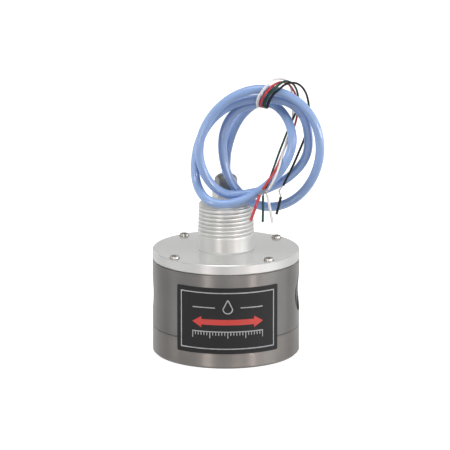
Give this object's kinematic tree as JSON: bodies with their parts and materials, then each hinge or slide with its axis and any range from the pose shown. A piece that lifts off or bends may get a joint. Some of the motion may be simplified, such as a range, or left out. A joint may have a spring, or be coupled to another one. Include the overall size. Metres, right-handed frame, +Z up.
{
  "type": "positive displacement flow meter",
  "caption": "Round oval gear flow meter with side ports, a threaded conduit neck and a coiled signal cable that ends in loose wires.",
  "frame": {"origin": "centre of the flat underside of the base cover", "axes": "+Z up along the housing and neck, +X along the ports towards the outlet, -Y towards the label"},
  "size_m": [0.083, 0.0702, 0.1382],
  "materials": {
    "dark_anodised": "hard anodised, fine turned",
    "bright_aluminium": "satin, fine turned",
    "seal_rubber": "matte",
    "screw_steel": "satin",
    "gear_resin": "moulded",
    "bush_carbon": "smooth",
    "magnet_plate": "nickel plated",
    "board_green": "solder mask",
    "black_plastic": "moulded",
    "gland_nickel": "dull nickel",
    "label_black": "printed film",
    "blue_jacket": "soft gloss",
    "red_wire": "gloss",
    "green_wire": "gloss",
    "white_wire": "gloss",
    "black_wire": "gloss",
    "tinned_copper": "tinned"
  },
  "bodies": {
    "housing": {"base_cover": "dark_anodised", "meter_body": "dark_anodised", "top_cap": "bright_aluminium", "conduit_neck": "bright_aluminium", "chamber_seal": "seal_rubber", "cap_seal": "seal_rubber", "gland_seal": "seal_rubber", "base_screws": "screw_steel", "cap_screws": "screw_steel", "board_screws": "screw_steel", "dowel_pins": "screw_steel", "gear_shaft_a": "screw_steel", "gear_shaft_b": "screw_steel", "circuit_board": "board_green", "hall_sensors": "black_plastic", "wire_terminal": "black_plastic", "tail_wires": "white_wire", "cable_tail": "blue_jacket", "cable_lead": "blue_jacket", "cable_coil": "blue_jacket", "gland_body": "gland_nickel", "gland_nut": "gland_nickel", "label_plate": "label_black", "wire_red": "red_wire", "wire_green": "green_wire", "wire_white": "white_wire", "wire_black": "black_wire", "wire_sleeves": "white_wire", "bare_strands": "tinned_copper"},
    "gear_a": {"oval_gear_a": "gear_resin", "gear_bush_a": "bush_carbon", "gear_magnets_a": "magnet_plate"},
    "gear_b": {"oval_gear_b": "gear_resin", "gear_bush_b": "bush_carbon", "gear_magnets_b": "magnet_plate"}
  },
  "joints": [
    {"name": "gear_a_spin", "type": "hinge", "parent": "housing", "child": "gear_a", "pos_m": [0, -0.0102, 0.0236], "axis": [0, 0, 1], "continuous": true},
    {"name": "gear_b_spin", "type": "hinge", "parent": "housing", "child": "gear_b", "pos_m": [0, 0.0102, 0.0236], "axis": [0, 0, 1], "continuous": true}
  ],
  "couplings": [
    {"joint": "gear_b_spin", "follows": "gear_a_spin", "ratio": -1}
  ]
}
